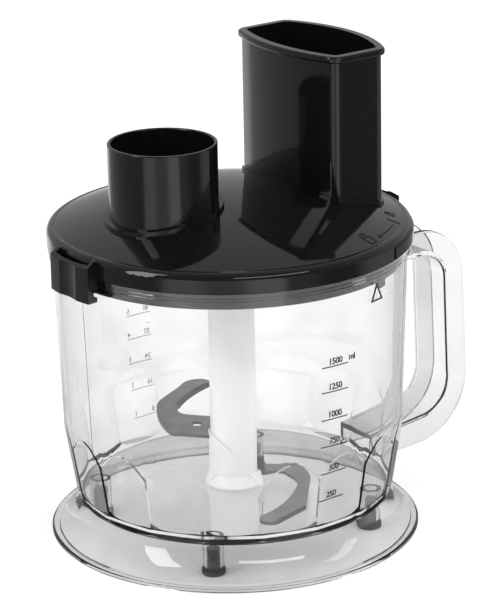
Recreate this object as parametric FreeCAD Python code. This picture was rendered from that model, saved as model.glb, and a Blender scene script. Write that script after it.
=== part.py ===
import FreeCAD, Part
import math
import os

from FreeCAD import Vector

# Bowl-and-lid unit of a food processor that a separate upright motor unit drives from above.
# Millimetres, +Z up, +X towards the handle. Everything is modelled about the bowl's axis and moved by
# AXIS_X when it is written, so that the origin lies under the middle of the whole unit, on the table.

# ---- Driving dimensions -------------------------------------------------------------------------
FIT = 0.05                    # radial running clearance of a shaft in its bush
GAP = 0.3                     # clearance between pieces that move past each other

# Bowl
FLOOR_Z = 19.0                # underside of the bowl's floor
FLOOR_T = 2.5
WALL_T = 2.3
FOOT_R = 77.4                 # round wall where it meets the floor
KNEE = ((81.0, 36.0), (82.2, 52.0))
SHOULDER = (84.9, 130.0)      # top of the tapered wall, below it the wall is straight
RIM_Z = 146.2
LIP_R = 87.0
LIP_H = 3.6
HEEL_R = 75.4                 # rounded-off foot of the wall, where it stands on the skirt
HEEL_H = 2.0
FACETS = 18
FACET_TURN = 3.5              # degrees from the handle to a ridge between two facets
FACET_APOTHEM = 76.0          # flat of a facet at the floor
FACET_TOP_Z = 60.0            # where a facet runs out into the round wall
FACET_TOP_R = 82.6

# Skirt, feet
SKIRT_R = 90.0
SKIRT_BEAD_W = 3.8
FOOT_COUNT = 4
FOOT_PITCH_R = 66.0
POST_R = 5.0
POST_BORE_R = 3.2
PAD_R = 5.6
PAD_H = 3.0
PAD_STEM_TOP_Z = 14.0

# Handle: a channel that is open outwards, its web on the finger side
HANDLE_W = 26.0
HANDLE_FLANGE_T = 2.2
HANDLE_WEB_T = 2.6
HANDLE_TOP_Z = 131.0
HANDLE_REACH = 137.7

# Spindle
PIN_R = 3.0
PIN_TOP_Z = 73.5
BOSS_R = 8.0
BOSS_H = 9.0

# Lid
DOME_R = 240.0                # sphere that the top belongs to
CROWN_Z = 171.0
LID_T = 2.4
BAND_R = 87.4
BAND_BOTTOM_Z = 146.5
BAND_TOP_Z = 152.3
DOME_EDGE_R = 83.2
LID_SKIRT_R = 82.4
LID_SKIRT_T = 2.1
LID_SKIRT_BOTTOM_Z = 138.0
RIM_PAD_T = 0.6
RIM_PAD_HALF_ANGLE = 64.0
WELT_H = 2.0                  # low step where a tube meets the dome

# Motor collar
COLLAR_X = -37.5              # its axis, which is also the pinion's
COLLAR_R = 25.9
COLLAR_BORE_R = 24.2
COLLAR_STOP_R = 23.0
COLLAR_TOP_Z = 200.5
COLLAR_STOP_Z = 182.5
COLLAR_FLOOR_Z = 163.0
COLLAR_FLOOR_T = 2.5
COLLAR_WELT_R = 28.4

# Feed tube: long walls bulge, ends are flat
FEED_OUTER_R = 71.5           # outer long wall, about the bowl's axis
FEED_INNER_X = 31.3           # inner long wall, nearest point to the axis
FEED_INNER_R = 100.0
FEED_HALF_LENGTH = 35.5
FEED_CORNER_R = 3.0
FEED_T = 2.4
FEED_TOP_Z = 236.3
FEED_BEAD_T = 1.8
FEED_BEAD_H = 3.4
FEED_WELT_T = 1.2

# Grip lugs and bayonet
LUG_R = 93.0
LUG_HALF_ANGLE = 9.7
LUG_BOTTOM_Z = 136.0
LUG_EDGE_Z = 152.3
LUG_ROOT_Z = 156.0
LUG_WALL = 2.0
HOOK_T = 2.2
RAMP_R = 89.2
RAMP_H = 3.0
RAMP_HALF_ANGLE = 6.5
PEG_ANGLES = (-68.0, 52.0, 172.0)
PEG_H = 3.4
PEG_HALF_ANGLE = 1.8
MARKER_ANGLE = -73.0
MARKER_TIP_Z = 139.0
MARKER_H = 8.6
MARKER_HALF_W = 4.4
MARKER_RIB = 0.6

# Gear train
MODULE = 1.25
PINION_TEETH = 18
WHEEL_TEETH = 42
GEAR_BOTTOM_Z = 153.0
GEAR_T = 6.0
TOOTH_BACKLASH = 0.24
HOUSING_GAP = 0.7
HOUSING_T = 1.9
COVER_BOTTOM_Z = 150.0
COVER_T = 2.0
EAR_R = 4.0
EAR_PITCH_R = 34.0
EAR_ANGLES = (70.0, 135.0, -135.0, -70.0)
SCREW_R = 1.5
SCREW_HEAD_R = 2.8
SCREW_HEAD_H = 1.7
SCREW_L = 10.0
SHAFT_R = 3.0
DRIVER_R = 5.0
BUSH_R = 7.4

# Blade unit
HUB_R = 11.3
HUB_BORE_R = 9.0
HUB_BOTTOM_Z = 22.4
HUB_TOP_Z = 146.5
HUB_WEB_Z = (58.0, 76.0)
HUB_BUSH_R = 5.0
SLEEVE_R = 12.3
SLEEVE_FLANGE_R = 14.0
SLEEVE_SLOPE = 43.0
SLEEVE_MID_Z = 38.0
BLADE_T = 1.5
BEVEL_H = 1.2
LOWER_BEVEL_W = 1.5
UPPER_BEVEL_W = 2.6
LOWER_BLADE_Z = 25.2
UPPER_BLADE_Z = 45.5
UPPER_BLADE_AZIMUTH = 62.0
UPPER_BLADE_TILT = 5.0
UPPER_HOLE_R = 2.6

# ---- Worked out from them -----------------------------------------------------------------------
DOME_CENTRE_Z = CROWN_Z - DOME_R
SWEEP = 360.0
Z_AXIS = Vector(0, 0, 1)
PINION_TIP_R = MODULE * (PINION_TEETH / 2 + 1)
WHEEL_TIP_R = MODULE * (WHEEL_TEETH / 2 + 1)
AXIS_X = -(HANDLE_REACH - LUG_R) / 2


# ---- Drawing helpers ----------------------------------------------------------------------------
def upright(a, b):
    return Vector(a, 0, b)


def plan(a, b):
    return Vector(a, b, 0)


def outline(place, start, *steps):
    """Face inside an outline. A step is a point for a line, or (point on the arc, end) for an arc."""
    edges = []
    here = place(*start)
    for step in steps:
        if isinstance(step[0], tuple):
            end = place(*step[1])
            edges.append(Part.Arc(here, place(*step[0]), end).toShape())
        else:
            end = place(*step)
            edges.append(Part.makeLine(here, end))
        here = end
    if not here.isEqual(place(*start), 1e-6):
        edges.append(Part.makeLine(here, place(*start)))
    return Part.Face(Part.Wire(edges))


def turned(*profile):
    """Solid of revolution about the bowl's axis."""
    return outline(upright, *profile).revolve(Vector(), Z_AXIS, SWEEP)


def rod(radius, low, high, x=0.0, y=0.0):
    return Part.makeCylinder(radius, high - low, Vector(x, y, low))


def pipe(outer, inner, low, high, x=0.0, y=0.0):
    return rod(outer, low, high, x, y).cut(rod(inner, low, high, x, y))


def spin(shape, angle, centre=Vector(), axis=Z_AXIS):
    copy = shape.copy()
    copy.rotate(centre, axis, angle)
    return copy


def sector(inner, outer, low, high, middle, half_angle):
    """Piece of a ring with a rectangular section."""
    section = outline(upright, (inner, low), (outer, low), (outer, high), (inner, high))
    return spin(section, middle - half_angle).revolve(Vector(), Z_AXIS, 2 * half_angle)


def block(x0, x1, y0, y1, z0, z1):
    return Part.makeBox(x1 - x0, y1 - y0, z1 - z0, Vector(x0, y0, z0))


def polar(radius, angle):
    return radius * math.cos(math.radians(angle)), radius * math.sin(math.radians(angle))


def fused(first, *others):
    return first.multiFuse(list(others)).removeSplitter()


def edges_at(shape, height):
    return [e for e in shape.Edges if all(abs(v.Z - height) < 1e-4 for v in e.Vertexes)]


def upright_edges(shape):
    return [e for e in shape.Edges if e.BoundBox.ZLength > 1 and e.BoundBox.XLength < 1e-4]


# ---- Bowl ---------------------------------------------------------------------------------------
def facet_frustum(inset):
    """Many-sided cone whose flats cut the arched facets of the lower wall."""
    slope = (FACET_TOP_R - FACET_APOTHEM) / (FACET_TOP_Z - FLOOR_Z)
    wires = []
    for z in (FLOOR_Z - 4, RIM_Z + 4):
        apothem = FACET_APOTHEM - inset + slope * (z - FLOOR_Z)
        corner_r = apothem / math.cos(math.pi / FACETS)
        corners = [polar(corner_r, FACET_TURN + SWEEP / FACETS * k) for k in range(FACETS + 1)]
        wires.append(Part.makePolygon([Vector(x, y, z) for x, y in corners]))
    return Part.makeLoft(wires, True, True)


def bowl_outside():
    body = turned((0, FLOOR_Z), (HEEL_R, FLOOR_Z), (FOOT_R, FLOOR_Z + HEEL_H), KNEE, SHOULDER,
                  (SHOULDER[0], RIM_Z - LIP_H), (LIP_R, RIM_Z - LIP_H), (LIP_R, RIM_Z), (0, RIM_Z))
    return body.common(facet_frustum(0))


def bowl_inside():
    knee = tuple((r - WALL_T, z) for r, z in KNEE)
    top_r = SHOULDER[0] - WALL_T + 0.1
    cavity = turned((0, FLOOR_Z + FLOOR_T), (FOOT_R - WALL_T - 3, FLOOR_Z + FLOOR_T),
                    (FOOT_R - WALL_T, FLOOR_Z + FLOOR_T + 3), knee, (top_r, SHOULDER[1]),
                    (top_r, RIM_Z + 1), (0, RIM_Z + 1))
    return cavity.common(facet_frustum(WALL_T))


def bowl_shell(outside):
    return outside.cut(bowl_inside())


def base_skirt():
    bead_in = SKIRT_R - SKIRT_BEAD_W
    return turned((73.2, FLOOR_Z), (75.6, FLOOR_Z), ((79.4, 9.6), (bead_in, 3.9)), (SKIRT_R - 1, 3.6),
                  (SKIRT_R, 2.6), (SKIRT_R, 1.4), (SKIRT_R - 1, 0.4), (bead_in, 0.4),
                  (bead_in - 0.6, 1.5), ((77.0, 8.4), (73.2, FLOOR_Z)))


def foot_angles():
    return [45.0 + SWEEP / FOOT_COUNT * k for k in range(FOOT_COUNT)]


def foot_posts():
    posts = [pipe(POST_R, POST_BORE_R, PAD_H, FLOOR_Z, *polar(FOOT_PITCH_R, a)) for a in foot_angles()]
    return Part.makeCompound(posts)


def rubber_feet():
    feet = []
    for angle in foot_angles():
        x, y = polar(FOOT_PITCH_R, angle)
        pad = rod(PAD_R, 0, PAD_H, x, y)
        pad = pad.makeFillet(0.7, edges_at(pad, 0))
        feet.append(fused(pad, rod(POST_BORE_R - 0.02, PAD_H - 0.5, PAD_STEM_TOP_Z, x, y)))
    return Part.makeCompound(feet)


def handle_region(edge_inset):
    """Side view of the handle, between its palm edge and a line set in from its finger edge."""
    d = edge_inset
    reach = HANDLE_REACH
    top = HANDLE_TOP_Z
    return outline(upright, (78, top), (108, top), ((127.5, 122.3), (reach - 2.0, 102)), (reach, 52),
                   ((reach - 7.2, 31.4), (109, 19.2)), (78, 17.2), (78, 30.2 - d), (110, 34 - d),
                   ((121.3 + 0.7 * d, 41.5 - 0.7 * d), (124.4 + d, 54)), (122.6 + d, 104),
                   ((118.6 + 0.7 * d, 113.7 + 0.7 * d), (108, 117.5 + d)), (78, 117.5 + d))


def slab(region, width):
    solid = region.extrude(Vector(0, width, 0))
    solid.translate(Vector(0, -width / 2, 0))
    return solid


def bowl_handle(outside, skirt):
    grip = slab(handle_region(0), HANDLE_W)
    rims = [e for e in grip.Edges if e.BoundBox.YLength < 1e-4 and e.BoundBox.XMax > 100]
    grip = grip.makeFillet(0.9, rims)
    channel = slab(handle_region(HANDLE_WEB_T), HANDLE_W - 2 * HANDLE_FLANGE_T)
    palm = slab(handle_region(HANDLE_WEB_T), HANDLE_W - 2 * HANDLE_FLANGE_T)
    palm.translate(Vector(0.4, 0, 0))
    return grip.cut(fused(channel, palm)).cut(outside).cut(skirt)


def bayonet_ramps(outside):
    low = LUG_BOTTOM_Z + HOOK_T + GAP
    ramps = [sector(80, RAMP_R, low, low + RAMP_H, a, RAMP_HALF_ANGLE).cut(outside) for a in (0.0, 180.0)]
    return Part.makeCompound(ramps)


def lock_marker(outside):
    """Small raised triangle on the bowl, drawn in outline, that the lid's signs point to."""
    r = SHOULDER[0]
    base_z = MARKER_TIP_Z - MARKER_H
    whole = Part.Face(Part.makePolygon([Vector(r - 2, 0, MARKER_TIP_Z), Vector(r - 2, MARKER_HALF_W, base_z),
                                        Vector(r - 2, -MARKER_HALF_W, base_z), Vector(r - 2, 0, MARKER_TIP_Z)]))
    outline = whole.cut(whole.makeOffset2D(-MARKER_RIB))
    return spin(outline.extrude(Vector(2.6, 0, 0)), MARKER_ANGLE).cut(outside)


def spindle_boss():
    top = FLOOR_Z + FLOOR_T + BOSS_H
    boss = rod(BOSS_R, FLOOR_Z + FLOOR_T, top)
    boss = boss.makeFillet(1.2, [e for e in edges_at(boss, top) if e.Length > 1])
    return boss.cut(rod(PIN_R, FLOOR_Z, top))


def spindle_pin():
    pin = rod(PIN_R, FLOOR_Z + FLOOR_T, PIN_TOP_Z)
    return pin.makeChamfer(0.8, edges_at(pin, PIN_TOP_Z))


# ---- Lid ----------------------------------------------------------------------------------------
def dome_z(radius, sphere=DOME_R):
    return DOME_CENTRE_Z + math.sqrt(sphere * sphere - radius * radius)


def dome_space(sphere):
    """Everything under a sphere about the dome's centre, down to below the lid."""
    reach = LUG_R + 5
    return turned((0, LUG_BOTTOM_Z - 20), (reach, LUG_BOTTOM_Z - 20), (reach, dome_z(reach, sphere)),
                  ((reach / 2, dome_z(reach / 2, sphere)), (0, dome_z(0, sphere))))


def lid_shell():
    inner = DOME_R - LID_T
    skirt_in = LID_SKIRT_R - LID_SKIRT_T
    corner = ((BAND_R - 1.2, BAND_TOP_Z + 2.9), (BAND_R, BAND_TOP_Z))
    return turned((0, CROWN_Z), ((45, dome_z(45)), (DOME_EDGE_R, dome_z(DOME_EDGE_R))), corner,
                  (BAND_R, BAND_BOTTOM_Z), (BAND_R - 2.2, BAND_BOTTOM_Z), (BAND_R - 2.2, BAND_TOP_Z - 0.8),
                  (LID_SKIRT_R, BAND_TOP_Z), (LID_SKIRT_R, LID_SKIRT_BOTTOM_Z),
                  (skirt_in, LID_SKIRT_BOTTOM_Z), (skirt_in, dome_z(skirt_in, inner)),
                  ((45, dome_z(45, inner)), (0, dome_z(0, inner))))


def rim_pad():
    """Slightly raised stretch of the rim on the handle's side."""
    return sector(BAND_R - 1, BAND_R + RIM_PAD_T, BAND_BOTTOM_Z + 0.5, BAND_TOP_Z, 0, RIM_PAD_HALF_ANGLE)


def lid_cover(feed_hole):
    boss_low = GEAR_BOTTOM_Z + GEAR_T + 4.4
    boss = rod(2 * SHAFT_R, boss_low, CROWN_Z).common(dome_space(DOME_R - 1))
    cover = fused(lid_shell(), rim_pad(), boss).cut(rod(SHAFT_R + FIT, boss_low, boss_low + 4.5))
    return cover.cut(rod(COLLAR_R, LUG_BOTTOM_Z, COLLAR_TOP_Z, COLLAR_X)).cut(feed_hole)


def motor_collar():
    below = dome_space(DOME_R - LID_T).common(rod(2 * BAND_R, LUG_BOTTOM_Z - 20, COLLAR_FLOOR_Z))
    wall = pipe(COLLAR_R, COLLAR_BORE_R, COLLAR_FLOOR_Z - 6, COLLAR_TOP_Z, COLLAR_X).cut(below)
    stop = pipe(COLLAR_BORE_R, COLLAR_STOP_R, COLLAR_FLOOR_Z, COLLAR_STOP_Z, COLLAR_X)
    floor = rod(COLLAR_STOP_R, COLLAR_FLOOR_Z, COLLAR_FLOOR_Z + COLLAR_FLOOR_T, COLLAR_X)
    boss = rod(BUSH_R + 2, COLLAR_FLOOR_Z, COLLAR_FLOOR_Z + 5.0, COLLAR_X)
    welt = pipe(COLLAR_WELT_R, COLLAR_R, COLLAR_FLOOR_Z - 6, CROWN_Z + 6, COLLAR_X)
    welt = welt.common(dome_space(DOME_R + WELT_H)).cut(dome_space(DOME_R))
    collar = fused(wall, stop, floor, boss, welt)
    lip = [e for e in edges_at(collar, COLLAR_TOP_Z)]
    collar = collar.makeFillet(0.5, lip)
    return collar.cut(rod(2 * SHAFT_R, COLLAR_FLOOR_Z, COLLAR_FLOOR_Z + 5.0, COLLAR_X))


def feed_prism(offset, low, high):
    """Feed tube's plan, offset outwards from its opening, as an upright prism."""
    half = FEED_HALF_LENGTH + offset
    outer_r = FEED_OUTER_R + offset
    inner_r = FEED_INNER_R + offset
    outer_x = math.sqrt(outer_r ** 2 - half ** 2)
    inner_x = FEED_INNER_X + FEED_INNER_R - math.sqrt(inner_r ** 2 - half ** 2)
    face = outline(plan, (inner_x, -half), (outer_x, -half), ((outer_r, 0), (outer_x, half)),
                   (inner_x, half), ((FEED_INNER_X - offset, 0), (inner_x, -half)))
    prism = face.extrude(Vector(0, 0, high - low))
    prism.translate(Vector(0, 0, low))
    return prism.makeFillet(FEED_CORNER_R + offset, upright_edges(prism))


def feed_tube():
    low = BAND_TOP_Z
    wall = feed_prism(FEED_T, low, FEED_TOP_Z)
    bead = feed_prism(FEED_T + FEED_BEAD_T, FEED_TOP_Z - FEED_BEAD_H, FEED_TOP_Z)
    bead = bead.makeFillet(1.1, edges_at(bead, FEED_TOP_Z) + edges_at(bead, FEED_TOP_Z - FEED_BEAD_H))
    welt = feed_prism(FEED_T + FEED_WELT_T, low, CROWN_Z + 6)
    welt = welt.common(dome_space(DOME_R + WELT_H)).cut(dome_space(DOME_R))
    tube = fused(wall.cut(dome_space(DOME_R - LID_T)), bead, welt)
    return tube.cut(feed_prism(0, low - 1, FEED_TOP_Z + 1))


def grip_lug(middle):
    """Hollow finger grip, open on top, whose floor hooks under the bowl's ramp."""
    body = sector(BAND_R, LUG_R, LUG_BOTTOM_Z, LUG_ROOT_Z, 0, LUG_HALF_ANGLE)
    wall_angle = math.degrees(LUG_WALL / LUG_R)
    pocket = sector(BAND_R - 2, LUG_R - LUG_WALL, LUG_BOTTOM_Z + HOOK_T, LUG_ROOT_Z + 2, 0,
                    LUG_HALF_ANGLE - wall_angle)
    slope = math.degrees(math.atan2(LUG_ROOT_Z - LUG_EDGE_Z, LUG_R - BAND_R))
    above = block(-30, 30, -30, 30, 0, 30)
    above.rotate(Vector(), Vector(0, 1, 0), slope)
    above.translate(Vector(BAND_R, 0, LUG_ROOT_Z))
    scoop_r = 26.0
    scoop = Part.makeCylinder(scoop_r, 60, Vector(LUG_R + scoop_r - 1.1, 0, 130), Z_AXIS)
    hook_z = LUG_BOTTOM_Z + HOOK_T
    ramp_way = sector(BAND_R - 2, RAMP_R + GAP, hook_z, hook_z + RAMP_H + 2 * GAP,
                      LUG_HALF_ANGLE, LUG_HALF_ANGLE - wall_angle)
    lug = body.cut(pocket).cut(above).cut(scoop).cut(ramp_way)
    return spin(lug, middle).cut(lid_shell()).cut(rim_pad())


def lid_pegs():
    low = LID_SKIRT_BOTTOM_Z - PEG_H
    pegs = [sector(LID_SKIRT_R - LID_SKIRT_T, LID_SKIRT_R, low, LID_SKIRT_BOTTOM_Z, a, PEG_HALF_ANGLE)
            for a in PEG_ANGLES]
    return Part.makeCompound(pegs)


# ---- Gear train ---------------------------------------------------------------------------------
def gear_wheel(teeth, phase, x):
    """Spur gear with tapered teeth. A tooth points along phase."""
    pitch_r = MODULE * teeth / 2
    half_pitch = math.pi / teeth
    quarter = half_pitch / 2 - TOOTH_BACKLASH / 4 / pitch_r
    tip_r, root_r = pitch_r + MODULE, pitch_r - 1.25 * MODULE
    tip_half = quarter * pitch_r / tip_r - MODULE * math.tan(math.radians(20)) / tip_r
    root_half = quarter + 1.0 * MODULE * math.tan(math.radians(20)) / root_r
    corners = []
    for k in range(teeth):
        middle = math.radians(phase) + 2 * half_pitch * k
        for radius, angle in ((root_r, -root_half), (pitch_r, -quarter), (tip_r, -tip_half),
                              (tip_r, tip_half), (pitch_r, quarter), (root_r, root_half)):
            corners.append(Vector(x + radius * math.cos(middle + angle),
                                  radius * math.sin(middle + angle), GEAR_BOTTOM_Z))
    corners.append(corners[0])
    return Part.Face(Part.makePolygon(corners)).extrude(Vector(0, 0, GEAR_T))


def driven_gear():
    wheel = gear_wheel(WHEEL_TEETH, 0.0, 0.0)
    top = GEAR_BOTTOM_Z + GEAR_T
    for low, high in ((GEAR_BOTTOM_Z - 1, GEAR_BOTTOM_Z + 2), (top - 2, top + 1)):
        wheel = wheel.cut(pipe(WHEEL_TIP_R - 5.5, DRIVER_R + 3, low, high))
    return wheel.cut(rod(DRIVER_R, GEAR_BOTTOM_Z - 1, top + 1))


def driver_shaft():
    """Shaft of the driven gear, with a two-winged dog that drops into the blade hub."""
    gear_top = GEAR_BOTTOM_Z + GEAR_T
    dog_low, dog_high = HUB_TOP_Z - 8.5, HUB_TOP_Z - 0.5
    core = rod(DRIVER_R - 1.5, dog_low, dog_high)
    wings = block(-HUB_BORE_R + 1, HUB_BORE_R - 1, -1.5, 1.5, dog_low, dog_high)
    return fused(rod(DRIVER_R, dog_high, gear_top + 4), rod(SHAFT_R, gear_top, gear_top + 8), core, wings)


def pinion_gear():
    return gear_wheel(PINION_TEETH, SWEEP / PINION_TEETH / 2, COLLAR_X).cut(
        rod(SHAFT_R, GEAR_BOTTOM_Z - 1, GEAR_BOTTOM_Z + GEAR_T + 1, COLLAR_X))


def pinion_shaft():
    return rod(SHAFT_R, COVER_BOTTOM_Z + 0.8, COLLAR_FLOOR_Z + 9.0, COLLAR_X)


def drive_coupler():
    """Socket that the motor unit's spindle drops into."""
    low, high = COLLAR_FLOOR_Z + 5.6, COLLAR_STOP_Z - 1.2
    seat = COLLAR_FLOOR_Z + 9.0
    cup = rod(7.6, low, high, COLLAR_X)
    cup = cup.makeChamfer(0.8, edges_at(cup, high))
    for k in range(6):
        notch = block(-1.0, 1.0, 3.6, 5.6, seat, high)
        notch.rotate(Vector(), Z_AXIS, 60 * k)
        notch.translate(Vector(COLLAR_X, 0, 0))
        cup = cup.cut(notch)
    return cup.cut(rod(4.4, seat, high, COLLAR_X)).cut(rod(SHAFT_R, low, seat, COLLAR_X))


def train_plan(offset, low, high):
    """Plan of both gears, offset outwards, as an upright prism."""
    return fused(rod(WHEEL_TIP_R + offset, low, high), rod(PINION_TIP_R + offset, low, high, COLLAR_X))


def ears(radius, low, high):
    return [rod(radius, low, high, *polar(EAR_PITCH_R, a)) for a in EAR_ANGLES]


def gear_housing():
    low = COVER_BOTTOM_Z + COVER_T
    outside = fused(train_plan(HOUSING_GAP + HOUSING_T, low, CROWN_Z), *ears(EAR_R, low, CROWN_Z))
    room = train_plan(HOUSING_GAP, low, CROWN_Z)
    walls = outside.common(dome_space(DOME_R - LID_T)).cut(room)
    for hole in ears(SCREW_R + FIT, low, low + SCREW_L):
        walls = walls.cut(hole)
    return walls.cut(rod(COLLAR_R, COLLAR_FLOOR_Z, CROWN_Z, COLLAR_X))


def gear_cover():
    high = COVER_BOTTOM_Z + COVER_T
    plate = train_plan(HOUSING_GAP + HOUSING_T, COVER_BOTTOM_Z, high)
    plate = fused(plate, *ears(EAR_R, COVER_BOTTOM_Z, high))
    for hole in ears(SCREW_R + FIT, COVER_BOTTOM_Z, high):
        plate = plate.cut(hole)
    plate = plate.cut(rod(SHAFT_R + FIT, COVER_BOTTOM_Z + 0.5, high, COLLAR_X))
    return plate.cut(rod(BUSH_R, COVER_BOTTOM_Z, high))


def cover_screws():
    screws = []
    for angle in EAR_ANGLES:
        x, y = polar(EAR_PITCH_R, angle)
        head = rod(SCREW_HEAD_R, COVER_BOTTOM_Z - SCREW_HEAD_H, COVER_BOTTOM_Z, x, y)
        head = head.makeFillet(0.8, edges_at(head, COVER_BOTTOM_Z - SCREW_HEAD_H))
        shank = rod(SCREW_R, COVER_BOTTOM_Z, COVER_BOTTOM_Z + SCREW_L, x, y)
        recess = block(-2, 2, -0.45, 0.45, COVER_BOTTOM_Z - 2, COVER_BOTTOM_Z - 0.9)
        recess.translate(Vector(x, y, 0))
        screws.append(fused(head, shank).cut(recess).cut(spin(recess, 90, Vector(x, y, 0))))
    return Part.makeCompound(screws)


def collar_bush():
    return pipe(2 * SHAFT_R, SHAFT_R + FIT, COLLAR_FLOOR_Z - 0.6, COLLAR_FLOOR_Z + 5.2, COLLAR_X)


def driver_bush():
    high = COVER_BOTTOM_Z + COVER_T + 0.6
    return pipe(BUSH_R, DRIVER_R + FIT, COVER_BOTTOM_Z - 1.0, high)


# ---- Blade unit ---------------------------------------------------------------------------------
def blade_hub():
    web_low, web_high = HUB_WEB_Z
    hub = rod(HUB_R, HUB_BOTTOM_Z, HUB_TOP_Z)
    hub = hub.makeFillet(0.8, edges_at(hub, HUB_TOP_Z))
    hub = hub.cut(rod(HUB_BORE_R, HUB_BOTTOM_Z - 1, web_low)).cut(rod(HUB_BUSH_R, web_low, web_high - 2))
    hub = hub.cut(rod(HUB_BORE_R, web_high, HUB_TOP_Z + 1))
    ribs = block(-1.5, 1.5, -HUB_BORE_R - 0.5, HUB_BORE_R + 0.5, HUB_TOP_Z - 14, HUB_TOP_Z - 1.5)
    return fused(hub, ribs.cut(rod(DRIVER_R + 0.6, HUB_TOP_Z - 15, HUB_TOP_Z)))


def hub_bush():
    return pipe(HUB_BUSH_R, PIN_R + FIT, HUB_WEB_Z[0], HUB_WEB_Z[1] - 2)


def bevel_section(edge_point, inward, width):
    """Triangle that takes a ground bevel off the top face, with its slope running through the edge."""
    slope = BEVEL_H / width
    spots = ((-1, BLADE_T - BEVEL_H - slope), (-1, BLADE_T + 1), (width + 1 / slope, BLADE_T + 1))
    corners = [edge_point + inward * across + Z_AXIS * up for across, up in spots]
    return Part.Face(Part.makePolygon(corners + corners[:1]))


def straight_bevel(heel, tip, width):
    start, run = plan(*heel), plan(*tip) - plan(*heel)
    inward = run.cross(Z_AXIS).normalize()
    return bevel_section(start - run * 0.02, inward, width).extrude(run * 1.3)


def hooked_bevel(start, middle, end, width):
    """The same along an arc whose blade lies outside it."""
    centre = Part.Arc(plan(*start), plan(*middle), plan(*end)).toShape().Curve.Center
    first, last = plan(*start) - centre, plan(*end) - centre
    swing = math.degrees(first.getAngle(last))
    if first.cross(last).z < 0:
        swing = -swing
    section = bevel_section(plan(*start), Vector(first).normalize(), width)
    return section.revolve(centre, Z_AXIS, swing)


def seated(blade, height, tilt_axis, tilt):
    """Lifts a blade to its height on the hub and opens it round the hub."""
    blade.rotate(Vector(), tilt_axis, tilt)
    blade.translate(Vector(0, 0, height))
    return blade.cut(rod(HUB_R, HUB_BOTTOM_Z - 5, HUB_TOP_Z))


def lower_blade():
    """Slim hooked blade near the floor, ground along the outside of its tip, with an upright root."""
    heel, tip = (-0.5, -57.9), (-21.9, -64.2)
    plate = outline(plan, (8, 3.6), (18.6, -2.6), (22.5, -5.8), (26.8, -7.7),
                    ((29.3, -9.6), (29.7, -13.5)), ((28.4, -20.5), (24.6, -28.6)), heel, tip,
                    ((-26.3, -61.8), (-26.9, -57.2)), (-24.4, -53.6), ((-8, -48.4), (8, -37.4)),
                    ((16.6, -27.6), (18.2, -18.5)), ((17.9, -13.6), (15.6, -11.9)), (8, -9.4))
    blade = plate.extrude(Vector(0, 0, BLADE_T)).cut(straight_bevel(heel, tip, LOWER_BEVEL_W))
    root = block(SLEEVE_R - 1.4, SLEEVE_R + 1.4, -6.0, 2.0, -1.5, 8.0)
    return seated(fused(blade, root), LOWER_BLADE_Z, Z_AXIS, 0)


def upper_blade():
    """Broad hooked blade half way up the food, ground along the inside of its hook, rising to its tip."""
    point, hook, throat = (23.4, 52.2), (9, 48), (-3.2, 41)
    plate = outline(plan, (-9.5, 2.2), (-22.6, 15.6), ((-24.5, 17.8), (-24.5, 20.8)),
                    ((-21.6, 32), (-14.6, 45)), ((-11.8, 48.8), (-7.2, 52.4)), (10, 59.7),
                    ((18.5, 62.3), (23.6, 59.8)),
                    ((25.3, 57.2), point), (hook, throat), ((-7.9, 34.8), (-6.6, 30.8)), (1.4, 22),
                    ((5.2, 17.2), (6, 8)))
    blade = plate.extrude(Vector(0, 0, BLADE_T)).cut(rod(UPPER_HOLE_R, -1, BLADE_T + 1, -8.6, 18.8))
    blade = blade.cut(hooked_bevel(point, hook, throat, UPPER_BEVEL_W))
    across = Vector(*polar(1, UPPER_BLADE_AZIMUTH - 90), 0)
    return seated(blade, UPPER_BLADE_Z, across, UPPER_BLADE_TILT)


def hub_sleeve(blades):
    """Lower grip around the hub, cut off on the slant from one blade's root to the other's."""
    top = HUB_WEB_Z[0]
    sleeve = turned((HUB_R, HUB_BOTTOM_Z), (SLEEVE_FLANGE_R, HUB_BOTTOM_Z),
                    (SLEEVE_FLANGE_R, HUB_BOTTOM_Z + 1.6), (SLEEVE_R, HUB_BOTTOM_Z + 6), (SLEEVE_R, top),
                    (HUB_R, top))
    above = block(-40, 40, -40, 40, 0, 60)
    above.rotate(Vector(), Vector(0, 1, 0), SLEEVE_SLOPE)
    above = spin(above, -24)
    above.translate(Vector(0, 0, SLEEVE_MID_Z))
    sleeve = sleeve.cut(above)
    for blade in blades:
        sleeve = sleeve.cut(blade)
    return sleeve


# ---- Output -------------------------------------------------------------------------------------
def build():
    outside = bowl_outside()
    skirt = base_skirt()
    lower = lower_blade()
    upper = upper_blade()
    return {
        "bowl_shell": bowl_shell(outside),
        "base_skirt": skirt,
        "foot_posts": foot_posts(),
        "rubber_feet": rubber_feet(),
        "bowl_handle": bowl_handle(outside, skirt),
        "bayonet_ramps": bayonet_ramps(outside),
        "lock_marker": lock_marker(outside),
        "spindle_boss": spindle_boss(),
        "spindle_pin": spindle_pin(),
        "lid_cover": lid_cover(feed_prism(FEED_T, LUG_BOTTOM_Z, FEED_TOP_Z)),
        "motor_collar": motor_collar(),
        "feed_tube": feed_tube(),
        "grip_lug_handle": grip_lug(0.0),
        "grip_lug_front": grip_lug(180.0),
        "lid_pegs": lid_pegs(),
        "gear_housing": gear_housing(),
        "gear_cover": gear_cover(),
        "cover_screws": cover_screws(),
        "collar_bush": collar_bush(),
        "driver_bush": driver_bush(),
        "pinion_gear": pinion_gear(),
        "pinion_shaft": pinion_shaft(),
        "drive_coupler": drive_coupler(),
        "driven_gear": driven_gear(),
        "driver_shaft": driver_shaft(),
        "blade_hub": blade_hub(),
        "hub_bush": hub_bush(),
        "hub_sleeve": hub_sleeve([lower, upper]),
        "lower_blade": lower,
        "upper_blade": upper,
    }


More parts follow.
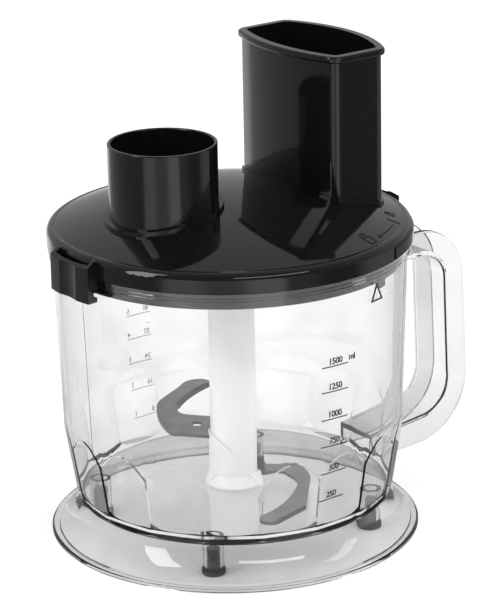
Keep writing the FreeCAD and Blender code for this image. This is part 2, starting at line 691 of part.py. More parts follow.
os.makedirs("parts", exist_ok=True)
for name, shape in build().items():
    shape.translate(Vector(AXIS_X, 0, 0))
    solids = shape.Solids
    print(f"{name:18s} solids {len(solids)} valid {shape.isValid()} volume {shape.Volume:10.1f}")
    shape.exportStep(f"parts/{name}.step")
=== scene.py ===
import bpy
import math
from mathutils import Matrix, Vector


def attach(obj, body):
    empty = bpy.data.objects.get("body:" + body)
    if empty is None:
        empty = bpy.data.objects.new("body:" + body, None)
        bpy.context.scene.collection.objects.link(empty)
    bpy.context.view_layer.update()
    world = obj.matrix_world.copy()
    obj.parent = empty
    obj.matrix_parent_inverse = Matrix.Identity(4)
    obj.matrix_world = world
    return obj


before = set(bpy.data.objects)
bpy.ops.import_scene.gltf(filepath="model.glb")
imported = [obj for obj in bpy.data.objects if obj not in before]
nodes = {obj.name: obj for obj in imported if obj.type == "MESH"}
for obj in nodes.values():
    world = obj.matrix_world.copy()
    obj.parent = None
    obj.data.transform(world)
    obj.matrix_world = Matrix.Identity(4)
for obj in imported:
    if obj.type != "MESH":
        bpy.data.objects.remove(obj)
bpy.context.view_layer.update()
bpy.ops.object.select_all(action="DESELECT")
print("frame in:", len(nodes), "CAD nodes")

# the bowl's own upright axis stands off the middle because of the handle
bowlAxis = Vector((-0.02235, 0, 0))


def hexToLinear(code):
    channels = [int(code[i:i + 2], 16) / 255 for i in (0, 2, 4)]
    return tuple(c / 12.92 if c <= 0.04045 else ((c + 0.055) / 1.055) ** 2.4 for c in channels) + (1.0,)


def addNode(tree, kind, inputs=None, stops=None, **settings):
    # a value goes in the socket, a socket is linked to it
    node = tree.nodes.new("ShaderNode" + kind)
    for name, value in settings.items():
        setattr(node, name, value)
    for name, value in (inputs or {}).items():
        if isinstance(value, bpy.types.NodeSocket):
            tree.links.new(value, node.inputs[name])
        else:
            node.inputs[name].default_value = value
    if stops:
        ramp = node.color_ramp
        while len(ramp.elements) < len(stops):
            ramp.elements.new(0.5)
        for element, (place, shade) in zip(ramp.elements, stops):
            element.position = place
            element.color = hexToLinear(shade) if isinstance(shade, str) else (shade, shade, shade, 1)
    return node


def startMaterial(name):
    material = bpy.data.materials.new(name)
    material.use_nodes = True
    tree = material.node_tree
    tree.nodes.clear()
    where = addNode(tree, "TexCoord").outputs["Object"]
    return material, tree, where


def finishMaterial(tree, shader):
    addNode(tree, "OutputMaterial", {"Surface": shader})


def addNoise(tree, where, lumpMm, detail, **more):
    lumps = {"Vector": where, "Scale": 1000 / lumpMm, "Detail": detail, **more}
    return addNode(tree, "TexNoise", lumps).outputs["Fac"]


def addStretch(tree, where, scale, **more):
    return addNode(tree, "Mapping", {"Vector": where, "Scale": scale, **more}).outputs[0]


def addRamp(tree, value, *stops):
    return addNode(tree, "ValToRGB", {"Fac": value}, stops=stops).outputs[0]


def addRange(tree, value, low, high, start=0.0, end=1.0):
    # start to end becomes low to high
    spread = {"Value": value, "From Min": start, "From Max": end, "To Min": low, "To Max": high}
    return addNode(tree, "MapRange", spread).outputs[0]


def addBump(tree, height, strength, depthMm):
    relief = {"Height": height, "Strength": strength, "Distance": depthMm / 1000}
    return addNode(tree, "Bump", relief).outputs[0]


def addMaths(tree, operation, *values):
    return addNode(tree, "Math", dict(enumerate(values)), operation=operation).outputs[0]


def addBlend(tree, share, first, second):
    # numbers: first where the share is 0, second where it is 1
    return addNode(tree, "Mix", {0: share, 2: first, 3: second}, data_type="FLOAT").outputs[0]


def addColourBlend(tree, share, first, second, how="MIX"):
    blend = {0: share, 6: first, 7: second}
    return addNode(tree, "Mix", blend, data_type="RGBA", blend_type=how).outputs[2]


def addMirrorRay(tree, path):
    # 1 for true reflections only: a look through clear plastic is a glossy ray too
    return addMaths(tree, "MULTIPLY", path.outputs["Is Glossy Ray"], path.outputs["Is Reflection Ray"])


def finishBody(tree, colour, gloss, bump, more):
    skin = {"Base Color": colour, "Roughness": gloss, "Normal": bump, **more}
    finishMaterial(tree, addNode(tree, "BsdfPrincipled", skin).outputs[0])


# Moulded styrene-acrylonitrile: glass clear and glossy, with the slow waves of the mould and fine wipe marks
def makeClearSan(name, tintAndPaintedShade):
    look = {"ior": 1.57, "smooth": 0.01, "wiped": 0.04, "waveMm": 22, "waveDepthMm": 0.6, "wipeMm": 1.6,
            "wipeStretch": (1, 1, 0.12), "thin": "F8F8F8", "full": "FFFFFF", "shadow": "FCFCFC"}
    material, tree, where = startMaterial(name)
    wave = addNoise(tree, where, look["waveMm"], 1.0)
    wipe = addNoise(tree, addStretch(tree, where, look["wipeStretch"]), look["wipeMm"], 3.0)
    gloss = addRange(tree, wipe, look["smooth"], look["wiped"], 0.5, 0.8)
    bump = addBump(tree, wave, 0.08, look["waveDepthMm"])
    # a slanting look goes through more plastic, and the walls get a painted shade that darkens them towards
    # their outlines
    slant = addNode(tree, "LayerWeight", {"Blend": 0.5})
    thick = addRamp(tree, slant.outputs["Facing"], *tintAndPaintedShade)
    cloud = addRamp(tree, wave, (0.3, look["thin"]), (0.7, look["full"]))
    shade = addColourBlend(tree, 1.0, thick, cloud, "MULTIPLY")
    body = addNode(tree, "BsdfPrincipled", {"Base Color": shade, "Roughness": gloss, "IOR": look["ior"],
                                            "Transmission Weight": 1.0, "Normal": bump})
    # light for the things behind it goes straight through, as thin clear plastic throws almost no shadow
    path = addNode(tree, "LightPath")
    soft = addMaths(tree, "MAXIMUM", path.outputs["Is Shadow Ray"], path.outputs["Is Diffuse Ray"])
    through = addNode(tree, "BsdfTransparent", {"Color": hexToLinear(look["shadow"])})
    mix = addNode(tree, "MixShader", {0: soft, 1: body.outputs[0], 2: through.outputs[0]})
    finishMaterial(tree, mix.outputs[0])
    return material


# High-gloss black ABS off a polished mould: a dark mirror with a very slight orange peel and a trace of dust
def makeGlossAbs():
    look = {"deep": "0B0B0C", "worn": "131314", "ior": 1.54, "smooth": 0.045, "dull": 0.12, "peelMm": 7,
            "peelDepthMm": 0.4, "dustMm": 2.4}
    material, tree, where = startMaterial("glossBlackAbs")
    peel = addNoise(tree, where, look["peelMm"], 2.0)
    dust = addNoise(tree, where, look["dustMm"], 6.0, Roughness=0.7)
    shade = addRamp(tree, dust, (0.35, look["deep"]), (0.75, look["worn"]))
    gloss = addRange(tree, dust, look["smooth"], look["dull"], 0.45, 0.8)
    bump = addBump(tree, peel, 0.05, look["peelDepthMm"])
    finishBody(tree, shade, gloss, bump, {"IOR": look["ior"]})
    return material


# Satin black ABS of the parts under the lid, off a fine spark-eroded mould: soft grey sheen, fine grain
def makeSatinAbs():
    look = {"deep": "141415", "high": "1E1E1F", "ior": 1.54, "smooth": 0.34, "dull": 0.5, "grainMm": 0.5,
            "grainDepthMm": 0.04, "cloudMm": 1000 / 60}
    material, tree, where = startMaterial("satinBlackAbs")
    grain = addNoise(tree, where, look["grainMm"], 4.0)
    cloud = addNoise(tree, where, look["cloudMm"], 2.0)
    shade = addRamp(tree, cloud, (0.3, look["deep"]), (0.7, look["high"]))
    gloss = addRange(tree, grain, look["smooth"], look["dull"])
    bump = addBump(tree, grain, 0.25, look["grainDepthMm"])
    finishBody(tree, shade, gloss, bump, {"IOR": look["ior"]})
    return material


# Natural polypropylene of the blade hub: milky, a little waxy, light goes a few millimetres in
def makeNaturalPolypropylene():
    look = {"light": "FDFDFC", "thick": "F7F7F6", "ior": 1.49, "smooth": 0.26, "dull": 0.42, "flowMm": 9,
            "flowStretch": (1, 1, 0.35), "skinMm": 0.8, "skinDepthMm": 0.05, "glow": 0.25, "glowMm": 4}
    material, tree, where = startMaterial("naturalPolypropylene")
    flow = addNoise(tree, addStretch(tree, where, look["flowStretch"]), look["flowMm"], 3.0)
    skin = addNoise(tree, where, look["skinMm"], 3.0)
    shade = addRamp(tree, flow, (0.35, look["thick"]), (0.7, look["light"]))
    gloss = addRange(tree, skin, look["smooth"], look["dull"])
    bump = addBump(tree, skin, 0.15, look["skinDepthMm"])
    finishBody(tree, shade, gloss, bump, {"IOR": look["ior"], "Subsurface Weight": look["glow"],
                                          "Subsurface Scale": look["glowMm"] / 1000,
                                          "Subsurface Radius": (1.0, 0.95, 0.9)})
    return material


# Natural acetal of the gears: creamy white, waxy, with a film of grease caught by the light
def makeNaturalAcetal():
    look = {"light": "E9E7DE", "shaded": "D9D5C8", "ior": 1.48, "greased": 0.2, "dry": 0.45, "flowMm": 5,
            "skinMm": 0.6, "skinDepthMm": 0.05}
    material, tree, where = startMaterial("naturalAcetal")
    flow = addNoise(tree, where, look["flowMm"], 3.0)
    skin = addNoise(tree, where, look["skinMm"], 2.0)
    shade = addRamp(tree, flow, (0.3, look["shaded"]), (0.7, look["light"]))
    gloss = addRange(tree, flow, look["greased"], look["dry"])
    bump = addBump(tree, skin, 0.2, look["skinDepthMm"])
    finishBody(tree, shade, gloss, bump, {"IOR": look["ior"]})
    return material


# Stainless blade steel, belt ground along the blade: even grey, fine lines that spread the light sideways
def makeGroundSteel():
    look = {"bright": "B2B4B6", "dull": "888A8C", "edgeShade": "66686B", "smooth": 0.26, "rough": 0.44,
            "lineMm": 0.35, "lineStretch": (0.08, 1, 1), "lineDegrees": 28, "lineDepthMm": 0.03,
            "cloudMm": 12, "lift": 0.2, "flatFrom": 0.9, "flatTo": 0.97}
    material, tree, where = startMaterial("groundBladeSteel")
    turn = (0, 0, math.radians(look["lineDegrees"]))
    along = addStretch(tree, where, look["lineStretch"], Rotation=turn)
    lines = addNoise(tree, along, look["lineMm"], 4.0)
    cloud = addNoise(tree, where, look["cloudMm"], 3.0)
    both = addMaths(tree, "MULTIPLY_ADD", lines, cloud, look["lift"])
    shade = addRamp(tree, both, (0.25, look["dull"]), (0.7, look["bright"]))
    # the slanting ground edges have a finer hone, and they get a painted shade that makes them darker than
    # the flats
    facing = addNode(tree, "SeparateXYZ", {"Vector": addNode(tree, "TexCoord").outputs["Normal"]})
    level = addMaths(tree, "ABSOLUTE", facing.outputs["Z"])
    flatUnshaded = addRange(tree, level, 0.0, 1.0, look["flatFrom"], look["flatTo"])
    ground = addColourBlend(tree, flatUnshaded, hexToLinear(look["edgeShade"]), shade)
    gloss = addRange(tree, lines, look["smooth"], look["rough"])
    bump = addBump(tree, lines, 0.2, look["lineDepthMm"])
    finishBody(tree, ground, gloss, bump, {"Metallic": 1.0})
    return material


# Centreless-ground steel of pins, screws and shafts: bright, with fine rings round the axis
def makeGroundPinSteel():
    look = {"bright": "C9CACC", "dull": "A9ABAD", "smooth": 0.14, "rough": 0.28, "ringMm": 0.3,
            "ringStretch": (0.05, 0.05, 1), "ringDepthMm": 0.02}
    material, tree, where = startMaterial("groundPinSteel")
    rings = addNoise(tree, addStretch(tree, where, look["ringStretch"]), look["ringMm"], 3.0)
    shade = addRamp(tree, rings, (0.3, look["dull"]), (0.7, look["bright"]))
    gloss = addRange(tree, rings, look["smooth"], look["rough"])
    bump = addBump(tree, rings, 0.15, look["ringDepthMm"])
    finishBody(tree, shade, gloss, bump, {"Metallic": 1.0})
    return material


# Oil-filled sintered bronze: brown gold with open pores
def makeSinteredBronze():
    look = {"metal": "B08D57", "pore": "6E5632", "smooth": 0.3, "rough": 0.6, "poreMm": 0.45,
            "poreDepthMm": 0.05}
    material, tree, where = startMaterial("sinteredBronze")
    cells = addNode(tree, "TexVoronoi", {"Vector": where, "Scale": 1000 / look["poreMm"]})
    pores = cells.outputs["Distance"]
    shade = addRamp(tree, pores, (0.08, look["pore"]), (0.3, look["metal"]))
    gloss = addRange(tree, pores, look["rough"], look["smooth"])
    bump = addBump(tree, pores, 0.3, look["poreDepthMm"])
    finishBody(tree, shade, gloss, bump, {"Metallic": 1.0})
    return material


# Black thermoplastic rubber of the feet: matt, with a fine bloom of dust in its grain
def makeFootRubber():
    look = {"deep": "151516", "dusty": "2A2A2B", "ior": 1.5, "smooth": 0.55, "dull": 0.8, "grainMm": 0.7,
            "grainDepthMm": 0.08}
    material, tree, where = startMaterial("mattFootRubber")
    grain = addNoise(tree, where, look["grainMm"], 5.0, Roughness=0.65)
    shade = addRamp(tree, grain, (0.35, look["deep"]), (0.75, look["dusty"]))
    gloss = addRange(tree, grain, look["smooth"], look["dull"])
    bump = addBump(tree, grain, 0.4, look["grainDepthMm"])
    finishBody(tree, shade, gloss, bump, {"IOR": look["ior"]})
    return material


# The marks stand up from the mould with an etched, frosted face that scatters light and reads as grey
def makeFrostedMark(name, deep, worn):
    look = {"ior": 1.57, "smooth": 0.45, "dull": 0.7, "spotMm": 0.6, "spotDepthMm": 0.05}
    material, tree, where = startMaterial(name)
    spots = addNoise(tree, where, look["spotMm"], 4.0)
    shade = addRamp(tree, spots, (0.35, deep), (0.7, worn))
    gloss = addRange(tree, spots, look["smooth"], look["dull"])
    bump = addBump(tree, spots, 0.3, look["spotDepthMm"])
    finishBody(tree, shade, gloss, bump, {"IOR": look["ior"]})
    return material


# The signs on the lid are moulded with it but left etched, so they stay dull and dark in the gloss
def makeEtchedAbs():
    look = {"deep": "070708", "high": "101011", "ior": 1.54, "smooth": 0.5, "dull": 0.7, "grainMm": 0.4,
            "grainDepthMm": 0.04}
    material, tree, where = startMaterial("etchedBlackAbs")
    grain = addNoise(tree, where, look["grainMm"], 4.0)
    shade = addRamp(tree, grain, (0.35, look["deep"]), (0.7, look["high"]))
    gloss = addRange(tree, grain, look["smooth"], look["dull"])
    bump = addBump(tree, grain, 0.3, look["grainDepthMm"])
    finishBody(tree, shade, gloss, bump, {"IOR": look["ior"]})
    return material


clearSan = makeClearSan("clearSanWall", ((0.35, "F6F6F6"), (0.78, "E4E4E4"), (1.0, "8A8A8A")))
clearSanThick = makeClearSan("clearSanThick", ((0.35, "E8E8E8"), (0.78, "D8D8D8"), (1.0, "707070")))
# the skirt also gets a painted shade where it is seen face-on, which greys its front
clearSanSkirt = makeClearSan("clearSanSkirt", ((0.05, "C8C8C8"), (0.4, "F2F2F2"), (0.8, "DCDCDC"),
                                               (1.0, "848484")))
# the seam is the same clear plastic with a dark painted shade, which makes it read as a dark line
clearSanShadedLine = makeClearSan("clearSanPartingLineShade", ((0.35, "6A6A6A"), (0.78, "5A5A5A"), (1.0, "3A3A3A")))
signBlack = makeEtchedAbs()
glossAbs = makeGlossAbs()
satinAbs = makeSatinAbs()
naturalPp = makeNaturalPolypropylene()
naturalAcetal = makeNaturalAcetal()
groundSteel = makeGroundSteel()
pinSteel = makeGroundPinSteel()
bronze = makeSinteredBronze()
footRubber = makeFootRubber()
# a painted shade darkens the grey of the near-wall marks and the lock marker, while the far-wall marks keep
# a pale grey
markShadedGrey = makeFrostedMark("etchedMarkShadedGrey", "26272A", "4C4D50")
markPale = makeFrostedMark("etchedMarkPale", "8E9092", "B4B6B8")

finishOf = {
    "bowl_shell": clearSan, "foot_posts": clearSan, "bayonet_ramps": clearSan, "spindle_boss": clearSan,
    "base_skirt": clearSanSkirt, "bowl_handle": clearSanThick, "lock_marker": markShadedGrey,
    "lid_cover": glossAbs, "motor_collar": glossAbs, "feed_tube": glossAbs,
    "grip_lug_handle": glossAbs, "grip_lug_front": glossAbs, "lid_pegs": glossAbs,
    "gear_housing": satinAbs, "gear_cover": satinAbs, "drive_coupler": satinAbs,
    "blade_hub": naturalPp, "hub_sleeve": naturalPp,
    "pinion_gear": naturalAcetal, "driven_gear": naturalAcetal, "driver_shaft": naturalAcetal,
    "lower_blade": groundSteel, "upper_blade": groundSteel,
    "spindle_pin": pinSteel, "cover_screws": pinSteel, "pinion_shaft": pinSteel,
    "collar_bush": bronze, "driver_bush": bronze, "hub_bush": bronze,
    "rubber_feet": footRubber,
}
for name, node in nodes.items():
    for place in node.material_slots:
        place.link = "OBJECT"
        place.material = finishOf[name]
print("finishes on:", len(finishOf), "nodes")


# ---- raised marks
# a wall mark starts clear of the bowl and is dropped on it; hair keeps it just off the plastic
wallStandOff = 0.12
hair = 0.00002


def onlySelect(*parts):
    bpy.ops.object.select_all(action="DESELECT")
    for part in parts:
        part.select_set(True)
    bpy.context.view_layer.objects.active = parts[0]


def settle(part):
    # the place goes into the mesh
    onlySelect(part)
    bpy.ops.object.transform_apply(location=True, rotation=True, scale=True)


def layOn(part, surface, axis, height):
    # drops a flat mark on a CAD surface along one axis, then raises it
    onlySelect(part)
    drop = part.modifiers.new("drop", "SHRINKWRAP")
    drop.target = surface
    drop.wrap_method = "PROJECT"
    setattr(drop, "use_project_" + axis, True)
    drop.use_negative_direction = True
    drop.use_positive_direction = True
    drop.offset = hair
    bpy.ops.object.modifier_apply(modifier="drop")
    rise = part.modifiers.new("rise", "SOLIDIFY")
    rise.thickness = height
    rise.offset = 1.0
    bpy.ops.object.modifier_apply(modifier="rise")


def addLettering(words, size, bold, place, turn):
    bpy.ops.object.text_add(location=place, rotation=turn)
    text = bpy.context.object
    text.data.body = words
    text.data.size = size
    text.data.offset = bold
    text.data.align_x = "CENTER"
    text.data.resolution_u = 3
    text.data.space_character = 0.92
    bpy.ops.object.convert(target="MESH")
    return bpy.context.object


def addStroke(length, width, place, turn):
    bpy.ops.mesh.primitive_plane_add(size=1, location=place, rotation=turn)
    stroke = bpy.context.object
    stroke.scale = (length, width, 1)
    settle(stroke)
    bpy.ops.object.mode_set(mode="EDIT")
    bpy.ops.mesh.select_all(action="SELECT")
    bpy.ops.mesh.subdivide(number_cuts=6)
    bpy.ops.object.mode_set(mode="OBJECT")
    return stroke


def makeScale(name, settings):
    side = settings["side"]
    turn = (math.radians(90), 0, 0 if side < 0 else math.radians(180))
    out = side * wallStandOff
    middle = bowlAxis.x + settings["centre"]
    # one tick, copied up the wall
    tick = addStroke(settings["length"], settings["line"], (middle, out, 0), turn)
    parts = []
    for height, words in settings["levels"]:
        line = tick.copy()
        line.data = tick.data.copy()
        line.location.z = height
        bpy.context.scene.collection.objects.link(line)
        parts.append(line)
        for shift, label in words:
            place = (middle - side * shift, out, height + settings["lift"])
            parts.append(addLettering(label, settings["letter"], settings["bold"], place, turn))
    bpy.data.objects.remove(tick)
    onlySelect(*parts)
    bpy.ops.object.join()
    scale = bpy.context.object
    scale.name = name
    settle(scale)
    layOn(scale, nodes["bowl_shell"], "y", settings["raise"])
    scale.data.materials.clear()
    scale.data.materials.append(settings["finish"])
    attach(scale, "bowl")


# a level is its height and its words, a word is its shift along the line and its label
frontScale = {"side": -1, "centre": -0.0017, "length": 0.015, "line": 0.0005, "lift": 0.0011,
              "letter": 0.0043, "raise": 0.00022, "bold": 0.00008, "finish": markShadedGrey,
              "levels": [(0.1050, [(0, "1500"), (0.0098, "ml")]), (0.0925, [(0, "1250")]),
                         (0.0788, [(0, "1000")]), (0.0654, [(0, "750")]), (0.0518, [(0, "500")]),
                         (0.0376, [(0, "250")])]}
# cups and ounces on the far wall
backScale = {"side": 1, "centre": 0.0006, "length": 0.015, "line": 0.00036, "lift": 0.0011,
             "letter": 0.0038, "raise": 0.00018, "bold": 0.00002, "finish": markPale,
             "levels": [(z, [(-0.005, str(8 * n)), (0.0062, str(n))])
                        for n, z in enumerate((0.033, 0.0473, 0.0609, 0.0739, 0.0862), start=1)]}
makeScale("volumeScaleFront", frontScale)
makeScale("volumeScaleBack", backScale)
print("scales on both walls")


def makePartingLine():
    # the mould closes opposite the handle and leaves a fine seam down the wall
    seam = {"low": 0.052, "high": 0.138, "wide": 0.00035, "raise": 0.00015}
    middle = (seam["low"] + seam["high"]) / 2
    quarter = math.radians(90)
    strip = addStroke(seam["high"] - seam["low"], seam["wide"], (bowlAxis.x - wallStandOff, 0, middle),
                      (quarter, quarter, quarter))
    strip.name = "partingLine"
    layOn(strip, nodes["bowl_shell"], "x", seam["raise"])
    strip.data.materials.append(clearSanShadedLine)
    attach(strip, "bowl")


makePartingLine()
print("parting line on the wall")


# angles are degrees round the bowl's axis, and signs are dropped on the lid from above
signSettings = {"line": 0.00045, "raise": 0.0002, "above": 0.18, "body": (0.005, 0.0056), "corner": 0.0006,
                "shackle": 0.0018, "leg": 0.0012, "closedAt": -70.2, "bodyRadius": 0.0789,
                "openAt": -40.5, "openRadius": 0.0772, "openSize": 0.7, "openSwing": -32,
                "indexAt": -47.2, "indexRadius": 0.0791, "indexLength": 0.0063,
                "arrowFrom": -50.5, "arrowTo": -63.5, "arrowRadius": 0.0797, "arrowSteps": 24,
                "tail": 0.0002, "head": 0.0014, "headStretch": 1.25, "headLead": 0.9}
tiny = 1e-6


def addPadlock(swing):
    # body and shackle lie flat round the origin, the shackle towards -Y
    line = signSettings["line"]
    leg = signSettings["leg"]
    bpy.ops.mesh.primitive_plane_add(size=1, location=(0, 0, 0))
    body = bpy.context.object
    body.scale = (*signSettings["body"], 1)
    settle(body)
    bpy.ops.object.mode_set(mode="EDIT")
    bpy.ops.mesh.select_all(action="SELECT")
    bpy.ops.mesh.bevel(offset=signSettings["corner"], segments=3, affect="VERTICES")
    bpy.ops.mesh.select_all(action="SELECT")
    bpy.ops.mesh.inset(thickness=line)
    bpy.ops.mesh.delete(type="FACE")
    bpy.ops.object.mode_set(mode="OBJECT")
    base = -signSettings["body"][1] / 2
    radius = signSettings["shackle"]
    bend = (0, base - leg, 0)
    bpy.ops.mesh.primitive_circle_add(vertices=24, radius=radius, fill_type="NGON", location=bend)
    shackle = bpy.context.object
    settle(shackle)
    bpy.ops.object.mode_set(mode="EDIT")
    bpy.ops.mesh.select_all(action="SELECT")
    bpy.ops.mesh.inset(thickness=line)
    bpy.ops.mesh.delete(type="FACE")
    bpy.ops.mesh.select_all(action="SELECT")
    bpy.ops.mesh.bisect(plane_co=bend, plane_no=(0, 1, 0), clear_outer=True)
    bpy.ops.object.mode_set(mode="OBJECT")
    for edge in shackle.data.edges:
        edge.select = all(abs(shackle.data.vertices[v].co.y - base + leg) < tiny for v in edge.vertices)
    bpy.ops.object.mode_set(mode="EDIT")
    bpy.ops.mesh.select_mode(type="EDGE")
    bpy.ops.mesh.extrude_region_move(TRANSFORM_OT_translate={"value": (0, leg, 0)})
    bpy.ops.mesh.select_mode(type="VERT")
    if swing:
        bpy.ops.mesh.select_all(action="SELECT")
        bpy.ops.transform.rotate(value=math.radians(swing), orient_axis="Z",
                                 center_override=(-radius, base, 0))
    bpy.ops.object.mode_set(mode="OBJECT")
    onlySelect(body, shackle)
    bpy.ops.object.join()
    return bpy.context.object


def standOnLid(part, angle, radius):
    turn = math.radians(angle)
    part.rotation_euler = (0, 0, turn - math.pi / 2)
    outward = Vector((math.cos(turn), math.sin(turn), 0))
    part.location = bowlAxis + radius * outward + Vector((0, 0, signSettings["above"]))
    settle(part)
    return part


def addArrow():
    # a stroke's leading end is spun about the bowl's axis, and a head goes on where it stops
    line, start, stop = (signSettings[key] for key in ("line", "arrowFrom", "arrowTo"))
    origin = (0, 0, 0)
    radius = signSettings["arrowRadius"]
    shaft = standOnLid(addStroke(signSettings["tail"], line, origin, origin), start, radius)
    onlySelect(shaft)
    ahead = Vector((math.sin(math.radians(start)), -math.cos(math.radians(start)), 0))
    furthest = max(v.co.dot(ahead) for v in shaft.data.vertices)
    for vertex in shaft.data.vertices:
        vertex.select = vertex.co.dot(ahead) > furthest - tiny
    for edge in shaft.data.edges:
        edge.select = all(shaft.data.vertices[v].select for v in edge.vertices)
    for face in shaft.data.polygons:
        face.select = False
    bpy.ops.object.mode_set(mode="EDIT")
    bpy.ops.mesh.select_mode(type="EDGE")
    bpy.ops.mesh.spin(steps=signSettings["arrowSteps"], angle=math.radians(start - stop), center=bowlAxis,
                      axis=(0, 0, 1))
    bpy.ops.mesh.select_mode(type="VERT")
    bpy.ops.object.mode_set(mode="OBJECT")
    bpy.ops.mesh.primitive_circle_add(vertices=3, radius=signSettings["head"], fill_type="NGON",
                                      location=origin)
    head = bpy.context.object
    head.rotation_euler = (0, 0, math.radians(-90))
    head.scale = (1, signSettings["headStretch"], 1)
    settle(head)
    return shaft, standOnLid(head, stop - signSettings["headLead"], radius)


def makeLockSigns():
    closed = standOnLid(addPadlock(0), signSettings["closedAt"], signSettings["bodyRadius"])
    opened = addPadlock(signSettings["openSwing"])
    opened.scale = (signSettings["openSize"], signSettings["openSize"], 1)
    settle(opened)
    opened = standOnLid(opened, signSettings["openAt"], signSettings["openRadius"])
    index = standOnLid(addStroke(signSettings["line"], signSettings["indexLength"], (0, 0, 0), (0, 0, 0)),
                       signSettings["indexAt"], signSettings["indexRadius"])
    shaft, head = addArrow()
    onlySelect(shaft, closed, opened, index, head)
    bpy.ops.object.join()
    signs = bpy.context.object
    signs.name = "lockSigns"
    settle(signs)
    bpy.ops.object.mode_set(mode="EDIT")
    bpy.ops.mesh.select_all(action="SELECT")
    bpy.ops.mesh.remove_doubles(threshold=tiny)
    bpy.ops.mesh.select_all(action="DESELECT")
    bpy.ops.object.mode_set(mode="OBJECT")
    # every stroke is laid face up before it is raised
    for face in signs.data.polygons:
        face.select = face.normal.z < 0
    bpy.ops.object.mode_set(mode="EDIT")
    bpy.ops.mesh.flip_normals()
    bpy.ops.object.mode_set(mode="OBJECT")
    layOn(signs, nodes["lid_cover"], "z", signSettings["raise"])
    signs.data.materials.clear()
    signs.data.materials.append(signBlack)
    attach(signs, "lid")


makeLockSigns()
print("lock signs on the lid")


# ---- studio
# the floor's painted reflection of what would stand round the table, seen only in the mirror of the black
# plastic: compass angle in degrees, then grey
floorSettings = {"radius": 6.0, "drop": 0.0002, "colour": "FAFAFA", "shade": "F8F8F8",
                 "mirrored": [(-180, 0.15), (-172, 0.15), (-163, 0.6), (-150, 0.7), (-136, 0.42),
                              (-122, 0.5), (-110, 0.95), (-101, 0.95), (-94, 0.3), (-80, 0.22),
                              (-66, 0.1), (-52, 0.1), (-35, 0.38), (-15, 0.3), (0, 0.2), (30, 0.3),
                              (60, 0.6), (88, 0.9), (100, 0.45), (112, 0.36), (134, 0.27),
                              (160, 0.18), (180, 0.15)]}


def addCompassBands(tree, where, spots):
    axes = addNode(tree, "SeparateXYZ", {"Vector": where})
    compass = addMaths(tree, "ARCTAN2", axes.outputs["Y"], axes.outputs["X"])
    paintedReflectionBands = addNode(tree, "FloatCurve", {"Value": addRange(tree, compass, 0.0, 1.0, -math.pi, math.pi)})
    points = paintedReflectionBands.mapping.curves[0].points
    places = [((angle + 180) / 360, grey) for angle, grey in spots]
    points[0].location = places[0]
    for place in places[1:-1]:
        points.new(*place)
    points[-1].location = places[-1]
    paintedReflectionBands.mapping.update()
    return paintedReflectionBands.outputs[0]


def makeFloor():
    bpy.ops.mesh.primitive_circle_add(vertices=96, radius=floorSettings["radius"], fill_type="NGON",
                                      location=(0, 0, -floorSettings["drop"]))
    floor = bpy.context.object
    floor.name = "studioFloor"
    material, tree, where = startMaterial("paleFloorPaint")
    mottle = addNode(tree, "TexNoise", {"Vector": where, "Scale": 3.0})
    tones = ((0.3, floorSettings["shade"]), (0.7, floorSettings["colour"]))
    paint = addRamp(tree, mottle.outputs["Fac"], *tones)
    # in reflections the floor paint is multiplied by these painted reflection bands
    paintedReflectionBands = addCompassBands(tree, where, floorSettings["mirrored"])
    mirror = addMirrorRay(tree, addNode(tree, "LightPath"))
    seen = addColourBlend(tree, 1.0, paint, addBlend(tree, mirror, 1.0, paintedReflectionBands), "MULTIPLY")
    matt = addNode(tree, "BsdfDiffuse", {"Color": seen})
    # from below the floor is not there, so the underside can be looked at
    below = addNode(tree, "NewGeometry").outputs["Backfacing"]
    gone = addNode(tree, "BsdfTransparent")
    oneSided = addNode(tree, "MixShader", {0: below, 1: matt.outputs[0], 2: gone.outputs[0]})
    finishMaterial(tree, oneSided.outputs[0])
    floor.data.materials.append(material)


# far is the level way from the front of the table to its back; the greys differ for each kind of ray
skySettings = {"far": (0.588, 0.809, 0.0), "farFrom": -0.6, "farTo": 0.7, "behind": 0.5, "infront": 0.14,
               "open": 0.9, "bent": 0.55, "backdrop": 1.05}


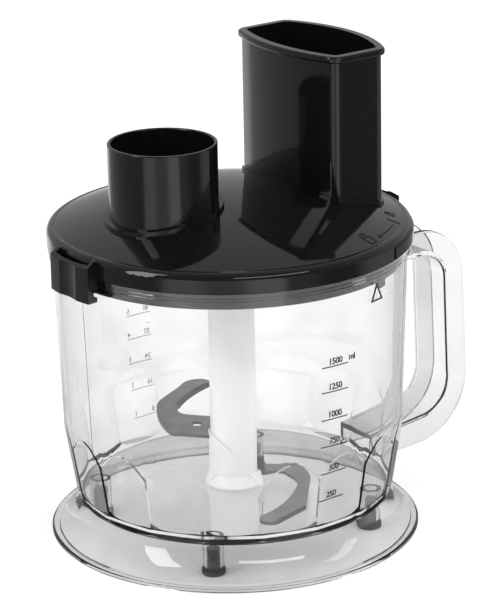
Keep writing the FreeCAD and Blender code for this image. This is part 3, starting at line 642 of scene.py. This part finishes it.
def makeSky():
    world = bpy.data.worlds.new("studioSky")
    bpy.context.scene.world = world
    world.use_nodes = True
    tree = world.node_tree
    tree.nodes.clear()
    towards = addNode(tree, "TexCoord").outputs["Generated"]
    facing = addNode(tree, "VectorMath", {0: towards, 1: skySettings["far"]}, operation="DOT_PRODUCT")
    mirrored = addRange(tree, facing.outputs["Value"], skySettings["infront"], skySettings["behind"],
                        skySettings["farFrom"], skySettings["farTo"])
    path = addNode(tree, "LightPath")
    bent = addBlend(tree, path.outputs["Is Transmission Ray"], skySettings["open"], skySettings["bent"])
    dimmed = addBlend(tree, addMirrorRay(tree, path), bent, mirrored)
    strength = addBlend(tree, path.outputs["Is Camera Ray"], dimmed, skySettings["backdrop"])
    sky = addNode(tree, "Background", {"Color": hexToLinear("FFFFFF"), "Strength": strength})
    addNode(tree, "OutputWorld", {"Surface": sky.outputs[0]})


def addSoftbox(name, place, aim, size, power, mirrored=True):
    lamp = bpy.data.lights.new(name, "AREA")
    lamp.shape = "RECTANGLE"
    lamp.size, lamp.size_y = size
    lamp.energy = power
    box = bpy.data.objects.new(name, lamp)
    bpy.context.scene.collection.objects.link(box)
    box.location = place
    box.rotation_euler = (Vector(aim) - Vector(place)).to_track_quat("-Z", "Y").to_euler()
    box.visible_glossy = mirrored


makeFloor()
makeSky()
addSoftbox("overheadPanel", (0.1, 0.2, 2.0), (0, 0.1, 0), (2.4, 2.4), 9, mirrored=False)
addSoftbox("leftSoftbox", (-1.5, 0.1, 0.9), (0, 0, 0.15), (0.5, 1.3), 9)
addSoftbox("rightSoftbox", (1.2, -0.9, 1.0), (0, 0, 0.15), (0.35, 1.2), 6, mirrored=False)
addSoftbox("frontSoftbox", (-0.3, -1.9, 1.5), (0, 0, 0.15), (1.8, 0.3), 8)
print("studio lit")

cameraSettings = {"place": (-0.84909, -1.14905, 0.58769), "heading": -36.0, "pitch": -18.569, "roll": -1.118,
                  "lens": 182.95, "sensor": 36.0}


def addCamera():
    camera = bpy.data.cameras.new("mainCamera")
    camera.lens = cameraSettings["lens"]
    camera.sensor_width = cameraSettings["sensor"]
    holder = bpy.data.objects.new("mainCamera", camera)
    bpy.context.scene.collection.objects.link(holder)
    turn = (Matrix.Rotation(math.radians(cameraSettings["heading"]), 4, "Z")
            @ Matrix.Rotation(math.radians(90 + cameraSettings["pitch"]), 4, "X")
            @ Matrix.Rotation(math.radians(cameraSettings["roll"]), 4, "Z"))
    holder.matrix_world = Matrix.Translation(cameraSettings["place"]) @ turn
    bpy.context.scene.camera = holder


addCamera()
bpy.context.scene.view_settings.view_transform = "Standard"
print("camera in place")
